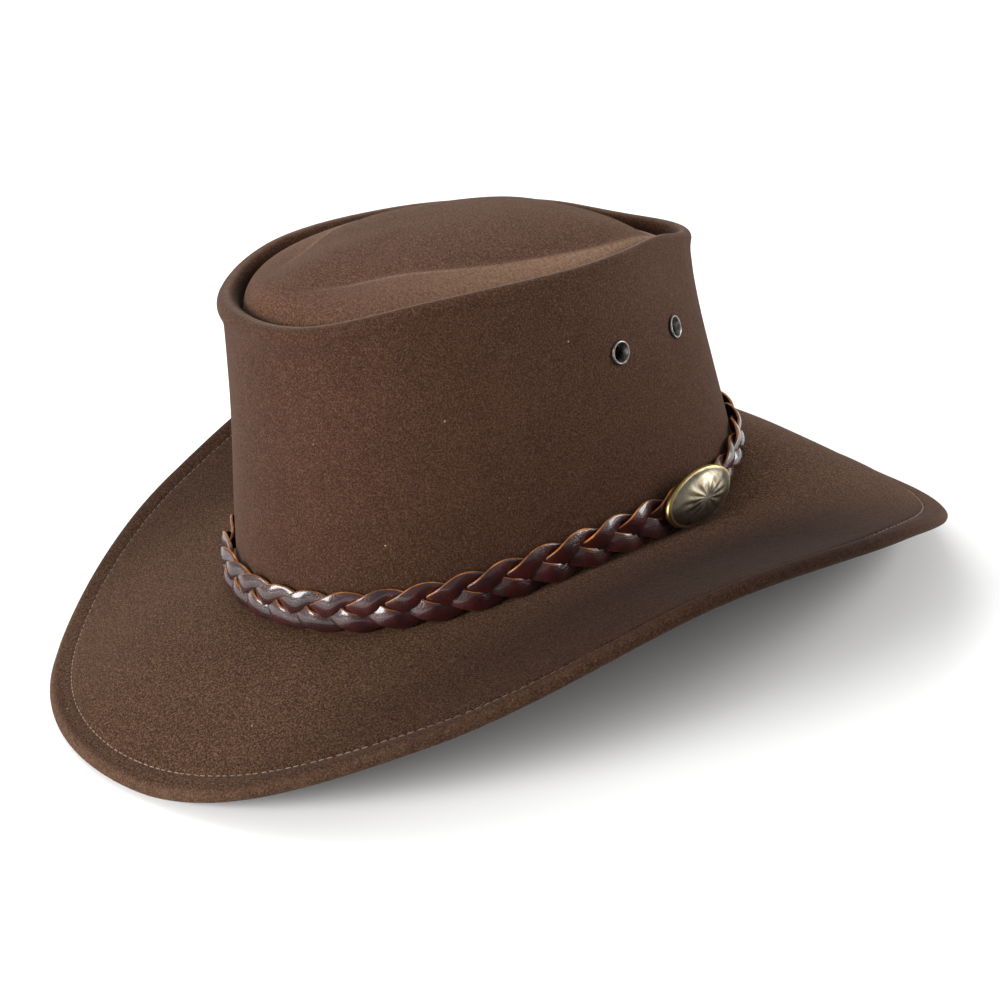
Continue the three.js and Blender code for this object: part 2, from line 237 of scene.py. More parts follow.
def makeNapGroup():
    # suede nap: cloudy mottling, a crisp speckle of fibres and a few pale dust specks
    tree, given, out = newGroup("suedeNap", [
        ("Colour", "Color", rgb(0.1, 0.06, 0.04)), ("Deep Colour", "Color", rgb(0.05, 0.03, 0.02)),
        ("Pale Colour", "Color", rgb(0.2, 0.14, 0.1)), ("Mottle", "Float", 0.5),
        ("Speckle", "Float", 0.5), ("Nap Size", "Float", 900.0), ("Dust", "Float", 0.5)],
        [("Colour", "Color"), ("Roughness", "Float"), ("Height", "Float")])
    place = addNode(tree, "TexCoord").outputs["Object"]
    low, high, speckAt = suedeNoise["low"], suedeNoise["high"], suedeNoise["speckAt"]
    cloud = spread(tree, noiseOf(tree, place, suedeNoise["cloudScale"], 3, 0.55), low, high)
    patch = spread(tree, noiseOf(tree, place, suedeNoise["patchScale"], 3, 0.6), low, high)
    mottle = times(tree, plus(tree, times(tree, cloud, 0.5), times(tree, patch, 0.5)), given["Mottle"])
    nap = noiseOf(tree, place, given["Nap Size"], 2, 0.6)
    fibre = noiseOf(tree, place, times(tree, given["Nap Size"], suedeNoise["tighter"]), 1)
    fine = plus(tree, times(tree, nap, suedeNoise["napShare"]), times(tree, fibre, suedeNoise["fibreShare"]))
    base = blendColour(tree, mottle, given["Colour"], given["Deep Colour"])
    darkShare = times(tree, spread(tree, fine, speckAt, suedeNoise["darkest"]), given["Speckle"])
    dark = blendColour(tree, darkShare, base, given["Deep Colour"])
    paleShare = times(tree, spread(tree, fine, speckAt, suedeNoise["palest"]),
                      times(tree, given["Speckle"], suedeNoise["paleShare"]))
    pale = blendColour(tree, paleShare, dark, given["Pale Colour"])
    motes = []
    for kind in suedeNoise["motes"]:
        dots = addNode(tree, "TexVoronoi", {"Vector": place, "Scale": kind["scale"], "Randomness": 1.0}).outputs
        dot = spread(tree, dots["Distance"], kind["reach"], kind["reach"] * suedeNoise["moteCore"])
        rare = spread(tree, dots["Color"], kind["rarity"], kind["rarity"] + suedeNoise["rarityStep"])
        motes.append(times(tree, dot, rare))
    mote = calc(tree, "MAXIMUM", motes[0], times(tree, motes[1], suedeNoise["smallMotes"]))
    dusty = blendColour(tree, times(tree, mote, given["Dust"]), pale, suedeNoise["dust"])
    coarse = times(tree, noiseOf(tree, place, suedeNoise["bumpScale"]), suedeNoise["bumpShare"])
    feed(tree, out, {"Colour": dusty, "Roughness": spread(tree, fine, 0.2, 0.8, 0.85, 1.0),
                     "Height": plus(tree, fine, coarse)})
    return tree


def makeWearGroup():
    # rubbed folds and edges, from the piece's own wear attribute, broken up by noise
    tree, given, out = newGroup("rubbedEdge", [
        ("Colour", "Color", rgb(0.1, 0.06, 0.04)), ("Worn Colour", "Color", rgb(0.4, 0.3, 0.2)),
        ("Amount", "Float", 1.0), ("Break Up", "Float", 300.0)], [("Colour", "Color")])
    worn = addNode(tree, "Attribute", attribute_name="wear").outputs["Fac"]
    place = addNode(tree, "TexCoord").outputs["Object"]
    rough = spread(tree, noiseOf(tree, place, given["Break Up"], 3), 0.3, 0.65, 0.35, 1.0)
    mask = times(tree, times(tree, worn, rough), given["Amount"])
    feed(tree, out, {"Colour": blendColour(tree, mask, given["Colour"], given["Worn Colour"])})
    return tree


# metres from the middle: the painted shade sets in over frontY and fades again over backY
paintedShadeReach = {"frontY": (-0.11, 0.04), "frontShare": 0.45, "backY": (0.07, 0.14), "backShare": 0.4}


def makePaintedShadeGroup():
    # painted shade: the brim's sides darkened by a tint, as if in the crown's shadow
    tree, given, out = newGroup("paintedSideShade", [
        ("Colour", "Color", rgb(0.1, 0.06, 0.04)), ("Shade Tint", "Color", rgb(0.5, 0.47, 0.45)),
        ("Inner", "Float", 0.07), ("Outer", "Float", 0.12)], [("Colour", "Color")])
    place = addNode(tree, "TexCoord").outputs["Object"]
    parts = addNode(tree, "SeparateXYZ", {"Vector": place}).outputs
    reach = {"Value": calc(tree, "ABSOLUTE", parts["X"]), "From Min": given["Inner"], "From Max": given["Outer"]}
    side = addNode(tree, "MapRange", reach, interpolation_type="SMOOTHSTEP").outputs["Result"]
    front = spread(tree, parts["Y"], *paintedShadeReach["frontY"], paintedShadeReach["frontShare"], 1.0)
    rear = spread(tree, parts["Y"], *paintedShadeReach["backY"], 1.0, paintedShadeReach["backShare"])
    mask = times(tree, side, times(tree, front, rear))
    feed(tree, out, {"Colour": blendColour(tree, mask, given["Colour"], given["Shade Tint"], "MULTIPLY")})
    return tree


def makeGrainGroup():
    # fine pebbled grain with small creases, for the straps' face, their cut edges and the thread
    tree, given, out = newGroup("strapGrain", [
        ("Colour", "Color", rgb(0.05, 0.01, 0.01)), ("Second Colour", "Color", rgb(0.02, 0.004, 0.004)),
        ("Grain Size", "Float", 700.0), ("Polish", "Float", 0.3)],
        [("Colour", "Color"), ("Roughness", "Float"), ("Height", "Float")])
    place = addNode(tree, "TexCoord").outputs["Object"]
    pebbles = {"Vector": place, "Scale": given["Grain Size"]}
    cells = addNode(tree, "TexVoronoi", pebbles, feature="DISTANCE_TO_EDGE").outputs["Distance"]
    creases = noiseOf(tree, place, 210, 4, 0.6)
    tone = spread(tree, noiseOf(tree, place, 120, 3, 0.6), 0.35, 0.65)
    feed(tree, out, {"Colour": blendColour(tree, tone, given["Colour"], given["Second Colour"]),
                     "Roughness": plus(tree, given["Polish"], spread(tree, creases, 0.3, 0.7, -0.05, 0.12)),
                     "Height": plus(tree, spread(tree, cells, 0.0, 0.25), creases)})
    return tree


def makePatinaGroup():
    # aged metal: dark tarnish in the hollows and blotches, rubbed bright where the wear attribute is high
    tree, given, out = newGroup("agedMetal", [
        ("Metal", "Color", rgb(0.5, 0.4, 0.2)), ("Tarnish", "Color", rgb(0.03, 0.025, 0.02)),
        ("Rubbed Metal", "Color", rgb(0.6, 0.45, 0.2)), ("Age", "Float", 0.5),
        ("Blotch Size", "Float", 200.0), ("Polish", "Float", 0.3)],
        [("Colour", "Color"), ("Roughness", "Float"), ("Height", "Float")])
    place = addNode(tree, "TexCoord").outputs["Object"]
    worn = addNode(tree, "Attribute", attribute_name="wear").outputs["Fac"]
    blotch = spread(tree, noiseOf(tree, place, given["Blotch Size"], 4, 0.6), 0.35, 0.62)
    bare = times(tree, times(tree, blotch, given["Age"]), calc(tree, "SUBTRACT", 1.0, worn))
    metal = blendColour(tree, worn, given["Metal"], given["Rubbed Metal"])
    feed(tree, out, {"Colour": blendColour(tree, bare, metal, given["Tarnish"]),
                     "Roughness": plus(tree, given["Polish"], times(tree, bare, 0.3)),
                     "Height": noiseOf(tree, place, 2200)})
    return tree


napGroup = makeNapGroup()
wearGroup = makeWearGroup()
paintedShadeGroup = makePaintedShadeGroup()
grainGroup = makeGrainGroup()
patinaGroup = makePatinaGroup()


def fillGroup(tree, group, sockets):
    made = tree.nodes.new("ShaderNodeGroup")
    made.node_tree = group
    return feed(tree, made, sockets).outputs


def newMaterial(name, shaderSettings):
    material = bpy.data.materials.new(name)
    material.use_nodes = True
    tree = material.node_tree
    return material, tree, feed(tree, tree.nodes["Principled BSDF"], shaderSettings)


def joinUp(tree, shader, colour, surface, relief, strength):
    # the shader gets its colour, and the surface's roughness and relief (in millimetres)
    raised = addNode(tree, "Bump", {"Height": surface["Height"], "Distance": relief * mm, "Strength": strength})
    feed(tree, shader, {"Base Color": colour, "Roughness": surface["Roughness"],
                        "Normal": raised.outputs["Normal"]})


def groupMaterial(name, shaderSettings, group, sockets, relief, strength):
    # a material that takes its colour, roughness and relief from one group
    material, tree, shader = newMaterial(name, shaderSettings)
    surface = fillGroup(tree, group, sockets)
    joinUp(tree, shader, surface["Colour"], surface, relief, strength)
    return material


def suedeMaterial(name, look):
    material, tree, shader = newMaterial(name, {
        "Sheen Weight": look["sheen"], "Sheen Roughness": 0.4, "Sheen Tint": look["sheenTint"],
        "Specular IOR Level": 0.08})
    nap = fillGroup(tree, napGroup, {
        "Colour": look["colour"], "Deep Colour": look["deep"], "Pale Colour": look["pale"],
        "Mottle": look["mottle"], "Speckle": look["speckle"], "Nap Size": look["napSize"], "Dust": look["dust"]})
    finished = fillGroup(tree, wearGroup, {
        "Colour": nap["Colour"], "Worn Colour": look["worn"], "Amount": look["rub"],
        "Break Up": look["breakUp"]})["Colour"]
    # painted shade: a look with a tint for it gets the brim's sides darkened
    if "paintedShade" in look:
        shadeSockets = {"Colour": finished, "Shade Tint": look["paintedShade"]}
        finished = fillGroup(tree, paintedShadeGroup, shadeSockets)["Colour"]
    joinUp(tree, shader, finished, nap, look["relief"], 0.6)
    return material


print("hat: material groups ready")

brimLook = {
    "colour": rgb(0.056, 0.0262, 0.014), "deep": rgb(0.019, 0.008, 0.004), "pale": rgb(0.14, 0.078, 0.046),
    "worn": rgb(0.14, 0.085, 0.054), "mottle": 0.4, "speckle": 0.95, "napSize": 1300.0, "dust": 0.9,
    "sheen": 0.03, "sheenTint": rgb(0.9, 0.7, 0.58), "rub": 0.45, "breakUp": 300.0, "relief": 0.5,
    # painted shade: the tint that darkens the brim's sides
    "paintedShade": rgb(0.27, 0.21, 0.19),
}
brim = {
    "thickness": 2.4, "curl": 1.45, "seam": 0.3, "waves": 0.5, "waveLength": 45,
    "hemWidth": 9.4, "hemHalf": 2.7, "hemRound": 3.2, "groove": 0.75, "grooveWidth": 0.7,
    "wear": 0.8, "wearAt": 1.2, "wearWidth": 1.6, "floorGap": 0.02, "floorEase": 0.8,
    "collarHeight": 8, "collarThickness": 1.8,
    "edgeRows": [0, 0.12, 0.45, 1.0, 1.8, 2.8, 4.0, 5.3, 6.8, 8.0, 8.8, 9.4, 10.0, 10.9, 12.6, 16],
    "innerRows": [0.76, 0.68, 0.6, 0.52, 0.44, 0.36, 0.28, 0.2, 0.12, 0.05, 0.012],
    "underRows": [0.012, 0.1, 0.25, 0.4, 0.55, 0.7],
    "around": 224,
}
wall = {"thickness": 2, "hollow": -0.52, "belly": 0.53, "rimInset": 0.25, "rimReach": 2.2}


def wallPoint(t, share):
    # the crown's outer face at a share of its height
    reach = min(at("roll", t) - wall["rimInset"], wall["rimReach"])
    top = onOval(crownRim, t) + outward(crownRim, t) * reach
    bow = wall["hollow"] * 4 * share * (1 - share) + wall["belly"] * math.sin(2 * math.pi * share)
    point = onOval(crownBase, t).lerp(top, share) + outward(crownBase, t) * bow
    point.z = at("foot", t) + (at("rim", t) - at("foot", t)) * share
    return point


def wallFrame(t, share):
    # where, outward, up and along on the crown's outer face
    up = (wallPoint(t, share + nearby) - wallPoint(t, share - nearby)).normalized()
    along = (wallPoint(t + nearby, share) - wallPoint(t - nearby, share)).normalized()
    out = along.cross(up).normalized()
    return wallPoint(t, share), out, out.cross(along), along


def brimHalf(inward):
    # half the brim's thickness, puffed inside the hem
    if inward < brim["hemRound"]:
        return brim["hemHalf"] * math.sqrt(max(0, 1 - (1 - inward / brim["hemRound"]) ** 2))
    drop = smoothStep(brim["hemRound"], brim["hemWidth"], inward)
    return brim["hemHalf"] + (brim["thickness"] / 2 - brim["hemHalf"]) * drop


def brimReach(t):
    # how far the brim runs out from the crown's foot
    return (onOval(brimEdge, t) - onOval(crownBase, t)).length


def brimMiddle(t, share):
    foot, edge = onOval(crownBase, t), onOval(brimEdge, t)
    seat = at("foot", t) - brim["seam"]
    rise = at("hem", t) - seat + brim["thickness"] / 2
    point = foot.lerp(edge, share)
    point.z = seat - brim["thickness"] / 2 + rise * share ** brim["curl"]
    inward = (1 - share) * brimReach(t)
    slack = smoothStep(0.1, 0.5, share) * (1 - 0.4 * smoothStep(0.9, 1, share))
    point.z += brim["waves"] * slack * uneven(point, brim["waveLength"])
    lowest = brimHalf(max(inward, brim["hemRound"])) + brim["floorGap"]
    over = point.z - lowest
    point.z = lowest + (over + math.hypot(over, brim["floorEase"])) / 2   # the hem rests on the floor
    return point


def brimFace(t, share, offset):
    run = brimMiddle(t, min(share + nearby, 1)) - brimMiddle(t, max(share - nearby, 0))
    point = brimMiddle(t, share) + squareAbove(run) * offset
    point.z = max(brim["floorGap"], point.z)
    return point


def brimSection(t):
    reach = brimReach(t)
    out = outward(crownBase, t)
    seat = at("foot", t) - brim["seam"]
    wallHeight = at("rim", t) - at("foot", t)

    def collar(depth, height):
        # a point of the turned-up inner edge, inside the crown's wall
        point = wallPoint(t, height / wallHeight) - out * (wall["thickness"] + brim["seam"] + depth)
        point.z = seat + height
        return point, 0

    top, under = [], []
    for inward in brim["edgeRows"]:
        share = 1 - inward / reach
        worn = brim["wear"] * bump(brim["wearAt"], brim["wearWidth"], inward)
        half = brimHalf(inward)
        sunk = brim["groove"] * bump(brim["hemWidth"], brim["grooveWidth"], inward)
        top.append((brimFace(t, share, half - sunk), worn))
        if inward:
            under.append((brimFace(t, share, -(half - sunk)), worn))
    for share in brim["innerRows"]:
        top.append((brimFace(t, share, brim["thickness"] / 2), 0))
    for share in reversed(brim["underRows"]):
        under.append((brimFace(t, share, -brim["thickness"] / 2), 0))
    high, deep = brim["collarHeight"], brim["collarThickness"]
    lip = [collar(0, 0.6), collar(0, 4), collar(0.1, high),
           collar(deep, high), collar(deep, 3), collar(deep, -brim["thickness"])]
    return top + lip + list(reversed(under))


brimPiece = sewnRing("hat_brim", brim["around"], brimSection)
brimPiece.data.materials.append(suedeMaterial("brim_suede", brimLook))
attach(brimPiece, "root")
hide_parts("brim")
print("hat: brim", len(brimPiece.data.vertices))

# the hem's stitches, above and below
stitching = {
    "inward": 9.4, "pitch": 3.3, "length": 2.5, "width": 0.52, "sink": 0.06, "slant": 3,
    "colour": rgb(0.24, 0.15, 0.11), "shade": rgb(0.12, 0.07, 0.05), "twist": 2600.0, "polish": 0.7,
    # painted shade: tint and reach, in metres from the middle, that darken the stitches on the brim's sides
    "relief": 0.1, "paintedShade": rgb(0.24, 0.22, 0.21), "shadeFrom": 0.04, "shadeTo": 0.11,
    "fineSteps": 1440,
}


def hemPoint(t, side):
    half = brimHalf(stitching["inward"]) - brim["groove"]
    return brimFace(t, 1 - stitching["inward"] / brimReach(t), side * half)


def stitchPlaces(side):
    # even places along the seam, from its length
    fine = stitching["fineSteps"]
    line = [hemPoint(2 * math.pi * i / fine, side) for i in range(fine + 1)]
    total = sum((b - a).length for a, b in zip(line, line[1:]))
    count = round(total / stitching["pitch"])
    places, gone, wanted = [], 0, 0
    for i in range(fine):
        gone += (line[i + 1] - line[i]).length
        while wanted < count and gone >= wanted * total / count:
            places.append(2 * math.pi * i / fine)
            wanted += 1
    return places


def oneStitch():
    # one stitch lying along X, to be copied round the hem
    mesh = bmesh.new()
    size = Matrix.Diagonal((stitching["length"] / 2, stitching["width"] / 2, stitching["width"] / 2, 1))
    lying = size @ Matrix.Rotation(math.pi / 2, 4, "Y")
    bmesh.ops.create_uvsphere(mesh, u_segments=8, v_segments=5, radius=mm, matrix=lying)
    data = bpy.data.meshes.new("one_stitch")
    mesh.to_mesh(data)
    mesh.free()
    return data


def stitchPlace(t, side):
    along = (hemPoint(t + nearby, side) - hemPoint(t - nearby, side)).normalized()
    share = 1 - stitching["inward"] / brimReach(t)
    across = (brimMiddle(t, share + 2 * nearby) - brimMiddle(t, share - 2 * nearby)).normalized()
    normal = along.cross(across).normalized() * side
    if normal.z * side < 0:
        normal = -normal
    turn = math.radians(random.uniform(-stitching["slant"], stitching["slant"]))
    lie = Matrix((along, normal.cross(along), normal)).transposed().to_4x4()
    middle = hemPoint(t, side) + normal * (stitching["width"] / 2 - stitching["sink"])
    return Matrix.Translation(middle * mm) @ lie @ Matrix.Rotation(turn, 4, "Z")


def hemStitches():
    single = oneStitch()
    mesh = bmesh.new()
    for side in (1, -1):
        for t in stitchPlaces(side):
            copy = single.copy()
            copy.transform(stitchPlace(t, side))
            mesh.from_mesh(copy)
            bpy.data.meshes.remove(copy)
    bpy.data.meshes.remove(single)
    return toObject("hem_stitches", mesh)


def makeThread():
    material, tree, shader = newMaterial("hem_thread", {"Specular IOR Level": 0.3, "Sheen Weight": 0.3})
    twist = fillGroup(tree, grainGroup, {
        "Colour": stitching["colour"], "Second Colour": stitching["shade"],
        "Grain Size": stitching["twist"], "Polish": stitching["polish"]})
    # painted shade: the stitches on the brim's sides darkened like the brim
    paintedShade = fillGroup(tree, paintedShadeGroup, {
        "Colour": twist["Colour"], "Shade Tint": stitching["paintedShade"],
        "Inner": stitching["shadeFrom"], "Outer": stitching["shadeTo"]})
    joinUp(tree, shader, paintedShade["Colour"], twist, stitching["relief"], 0.5)
    return material


stitches = hemStitches()
stitches.data.materials.append(makeThread())
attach(stitches, "root")
print("hat: stitches", len(stitches.data.polygons))

crownLook = {
    "colour": rgb(0.052, 0.0238, 0.0136), "deep": rgb(0.021, 0.0082, 0.0047), "pale": rgb(0.12, 0.064, 0.04),
    "worn": rgb(0.18, 0.11, 0.074), "mottle": 0.5, "speckle": 0.7, "napSize": 1500.0, "dust": 0.8,
    "sheen": 0.1, "sheenTint": rgb(0.95, 0.76, 0.66), "rub": 0.5, "breakUp": 300.0, "relief": 0.5,
}
crown = {
    "foldThickness": 1.8, "gutter": 9, "seam": 4, "waves": 0.5, "waveLength": 38, "rubLines": 0.35,
    "lineLength": 18, "lineStretch": 3, "linesAt": 0.86, "linesWidth": 0.08, "wearAt": 105, "wearWidth": 22,
    "cornerAt": 141, "cornerWidth": 17, "cornerLift": 3.1,
    "wallShares": [0, 0.03, 0.08, 0.15, 0.23, 0.31, 0.39, 0.47, 0.55, 0.63, 0.71, 0.78, 0.84, 0.885, 0.92, 0.95],
    "arcDegrees": [-32, -10, 12, 34, 54, 72, 88, 104, 120, 138, 158, 176],
    "underArc": [170, 120, 70, 20], "innerShares": [0.94, 0.7, 0.45, 0.2, 0],
    "around": 224,
}
vents = {"radius": 3.1, "slack": 0.3, "punchDepth": 12, "height": 0.69,
         "angles": {"eyelet_left_front": 105.9, "eyelet_left_back": 130.3,
                    "eyelet_right_front": -105.9, "eyelet_right_back": -130.3}}


def rimHeight(t):
    # the rim stands a little higher at its corners behind
    return at("rim", t) + crown["cornerLift"] * bump(crown["cornerAt"], crown["cornerWidth"], degreesFromFront(t))


def crownSection(t):
    out, rimOut = outward(crownBase, t), outward(crownRim, t)
    rimPlan = onOval(crownRim, t)
    rim, roll = rimHeight(t), at("roll", t)
    rows, stretch = [], crown["lineStretch"]
    for share in crown["wallShares"]:
        point = wallPoint(t, share)
        soft = crown["waves"] * uneven(point, crown["waveLength"], 3) * smoothStep(0, 0.15, share)
        squat = Vector((point.x / stretch, point.y / stretch, point.z * stretch))
        near = bump(crown["linesAt"], crown["linesWidth"], share)
        lines = crown["rubLines"] * uneven(squat, crown["lineLength"], 5) * near
        rows.append((point + out * (soft * (1 - smoothStep(0.85, 1, share)) + lines), 0))

    def arc(radius, degrees):
        turn = math.radians(degrees)
        point = rimPlan + rimOut * (radius * math.cos(turn))
        point.z = rim + radius * math.sin(turn)
        return point

    for degrees in crown["arcDegrees"]:
        rows.append((arc(roll, degrees), bump(crown["wearAt"], crown["wearWidth"], degrees)))
    gutter, foot = crown["gutter"], crown["gutter"] + crown["seam"]
    back = roll - crown["foldThickness"]
    for depth, inset in ((gutter * 0.4, roll), (gutter, roll), (foot, roll), (foot, back), (gutter, back)):
        point = rimPlan - rimOut * inset
        point.z = rim - depth
        rows.append((point, 0))
    for degrees in crown["underArc"]:
        rows.append((arc(max(back, 0.3), degrees), 0))
    for share in crown["innerShares"]:
        rows.append((wallPoint(t, share) - out * wall["thickness"], 0))
    return rows


def standOn(place, out, up, along):
    turn = Matrix((along, up, out)).transposed().to_4x4()
    return Matrix.Translation(place * mm) @ turn


def eyeletFrame(angle):
    return standOn(*wallFrame(math.radians(angle), vents["height"]))


def punchHoles(piece):
    punchMesh = bmesh.new()
    radius = (vents["radius"] + vents["slack"]) * mm
    for angle in vents["angles"].values():
        bmesh.ops.create_cone(punchMesh, cap_ends=True, segments=24, radius1=radius, radius2=radius,
                              depth=vents["punchDepth"] * mm, matrix=eyeletFrame(angle))
    punch = toObject("hole_punch", punchMesh, smooth=False)
    cut = piece.modifiers.new("eyelet holes", "BOOLEAN")
    cut.operation = "DIFFERENCE"
    cut.solver = "EXACT"
    cut.object = punch
    punched = bpy.data.meshes.new_from_object(piece.evaluated_get(bpy.context.evaluated_depsgraph_get()))
    piece.modifiers.clear()
    piece.data = punched
    bpy.data.objects.remove(punch)


crownPiece = sewnRing("hat_crown_side", crown["around"], crownSection)
punchHoles(crownPiece)
crownPiece.data.materials.clear()
crownPiece.data.materials.append(suedeMaterial("crown_suede", crownLook))
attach(crownPiece, "root")
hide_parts("crown_side")
print("hat: crown side", len(crownPiece.data.vertices))

tipLook = {
    "colour": rgb(0.078, 0.037, 0.0222), "deep": rgb(0.032, 0.0135, 0.008), "pale": rgb(0.165, 0.093, 0.058),
    "worn": rgb(0.28, 0.172, 0.112), "mottle": 0.45, "speckle": 0.8, "napSize": 1400.0, "dust": 0.7,
    "sheen": 0.03, "sheenTint": rgb(0.95, 0.74, 0.62), "rub": 0.8, "breakUp": 900.0, "relief": 0.5,
    "ridgeWear": 0.6, "frontWear": 0.04, "sideWear": 1.0,
}
tip = {
    "thickness": 1.8, "apex": 158.1, "apexY": 3.6, "fullness": 2.34, "dip": 0.7, "dipAt": 0.93,
    "dipWidth": 0.05, "waves": 0.6, "waveLength": 42, "gap": 0.3, "holeRadius": 2.5,
    "topShares": [0.02, 0.1, 0.2, 0.3, 0.4, 0.5, 0.6, 0.7, 0.78, 0.85, 0.9, 0.94, 0.97, 0.985, 1],
    "sideShares": [0.97, 0.9, 0.8, 0.68, 0.56, 0.44, 0.32, 0.2, 0.1],
    "crispFrom": 12, "crispTo": 50, "softPasses": 6, "wearFrom": 20, "wearTo": 135,
    "around": 192,
}


def tipRidge(t):
    point = onOval(domeRidge, t)
    point.z = rimHeight(t) + at("ridgeUp", t)
    return point


def tipTop(t, share):
    apex, ridge = Vector((0, tip["apexY"], tip["apex"])), tipRidge(t)
    point = apex.lerp(ridge, share)
    point.z = apex.z + (ridge.z - apex.z) * share ** tip["fullness"]
    point.z -= tip["dip"] * bump(tip["dipAt"], tip["dipWidth"], share)
    wavy = smoothStep(0.15, 0.4, share)   # no waves in the middle, or at the ridge
    point.z += tip["waves"] * uneven(point, tip["waveLength"], 9) * wavy * (1 - smoothStep(0.85, 1, share))
    return point


def tipSection(t):
    rim, rimPlan, inward = rimHeight(t), onOval(crownRim, t), -outward(crownRim, t)
    start = at("roll", t) + tip["gap"]
    ridge = tipRidge(t)
    gutter = rim - crown["gutter"]

    def step(inset, z):
        point = rimPlan + inward * inset
        point.z = z
        return point

    low = step(start, gutter)
    control = step(start, gutter + at("steep", t) * (ridge.z - gutter))
    turned = degreesFromFront(t)
    crisp = smoothStep(tip["crispFrom"], tip["crispTo"], turned)
    backward = smoothStep(tip["wearFrom"], tip["wearTo"], turned)
    rubbed = tipLook["frontWear"] + (tipLook["sideWear"] - tipLook["frontWear"]) * backward
    line = [(tipTop(t, share), crisp * tipLook["ridgeWear"] * smoothStep(0.97, 1, share))
            for share in tip["topShares"]]
    for share in tip["sideShares"]:   # a curve from the ridge down into the gutter
        point = low * (1 - share) ** 2 + control * (2 * share * (1 - share)) + ridge * share ** 2
        line.append((point, rubbed * smoothStep(0.05, 0.3, share)))
    for passed in range(tip["softPasses"]):   # the ridge melts away in front
        even = [(line[i - 1][0] + line[i + 1][0]) / 2 for i in range(1, len(line) - 1)]
        line[1:-1] = [(here.lerp(between, 0.5 * (1 - crisp)), worn)
                      for (here, worn), between in zip(line[1:-1], even)]
    back, foot = start + tip["thickness"], gutter - crown["seam"]
    rows = line + [(low, 0), (step(start, foot), 0), (step(back, foot), 0), (step(back, gutter), 0)]
    for i in range(len(line) - 4, 0, -3):
        run = line[i + 1][0] - line[i - 1][0]
        rows.append((line[i][0] - squareAbove(run) * tip["thickness"], 0))
    point = line[0][0].copy()
    point.z -= tip["thickness"]
    return rows + [(point, 0)]


def closeMiddle(piece):
    # the two small holes at the middle, above and below, are closed with a fan
    mesh = bmesh.new()
    mesh.from_mesh(piece.data)
    inner = [face for face in mesh.faces
             if max(math.hypot(v.co.x, v.co.y - tip["apexY"] * mm) for v in face.verts) < tip["holeRadius"] * mm]
    bmesh.ops.delete(mesh, geom=inner, context="FACES")
    bmesh.ops.holes_fill(mesh, edges=[edge for edge in mesh.edges if edge.is_boundary], sides=0)
    bmesh.ops.poke(mesh, faces=[face for face in mesh.faces if len(face.verts) > 4])
    bmesh.ops.recalc_face_normals(mesh, faces=mesh.faces)
    mesh.to_mesh(piece.data)
    mesh.free()
    piece.data.shade_smooth()


tipPiece = sewnRing("hat_crown_tip", tip["around"], tipSection, levels=0)
closeMiddle(tipPiece)
refine(tipPiece, 1)
tipPiece.data.materials.append(suedeMaterial("tip_suede", tipLook))
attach(tipPiece, "root")
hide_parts("crown_tip")
print("hat: crown tip", len(tipPiece.data.vertices))

plait = {
    "strands": 3, "periods": 13, "stations": 28, "width": 7.0, "thickness": 1.3, "domed": 0.75,
    "swing": 4.15, "sharp": -0.05, "rise": 1.55, "tilt": 0.16, "lift": 8.0, "standOff": 3.3,
    "tightening": 0.0066, "tightAt": 0.16, "lineShare": 0.04, "lineSteps": 720, "nearby": 0.0006,
    "behindFrom": 112, "behindTo": 132, "behindScale": 0.79, "behindLift": 6.45, "behindStandOff": 2.3,
    "colour": rgb(0.042, 0.0064, 0.006), "second": rgb(0.014, 0.003, 0.0036), "grain": 1100.0,
    "edge": rgb(0.5, 0.18, 0.042), "edgeShade": rgb(0.12, 0.036, 0.01), "edgeGrain": 1800.0,
}


def behind(t):
    # 0 along the front and sides, 1 behind, where the plait is pulled tight against the crown
    return smoothStep(plait["behindFrom"], plait["behindTo"], degreesFromFront(t))


def bandLine():
    # the middle line of the band, with its angles, and the length gone at each point
    raw, count = [], plait["lineSteps"]
    for i in range(count):
        t = 2 * math.pi * i / count
        out, up = wallFrame(t, plait["lineShare"])[1:3]
        away = plait["standOff"] + (plait["behindStandOff"] - plait["standOff"]) * behind(t)
        lift = plait["lift"] + (plait["behindLift"] - plait["lift"]) * behind(t)
        raw.append((wallPoint(t, 0) + out * away + up * lift, t))
    gone = [0]
    for i in range(count):
        gone.append(gone[-1] + (raw[(i + 1) % count][0] - raw[i][0]).length)
    return raw, gone


bandPoints, bandLengths = bandLine()


def onBand(share):
    # the point and the angle at a share of the band's length
    wanted = (share % 1) * bandLengths[-1]
    low, high = 0, len(bandLengths) - 1
    while high - low > 1:
        middle = (low + high) // 2
        if bandLengths[middle] <= wanted:
            low = middle
        else:
            high = middle
    f = (wanted - bandLengths[low]) / (bandLengths[low + 1] - bandLengths[low])
    a, b = bandPoints[low], bandPoints[(low + 1) % len(bandPoints)]
    turn = b[1] if b[1] > a[1] else b[1] + 2 * math.pi
    return a[0].lerp(b[0], f), a[1] + (turn - a[1]) * f


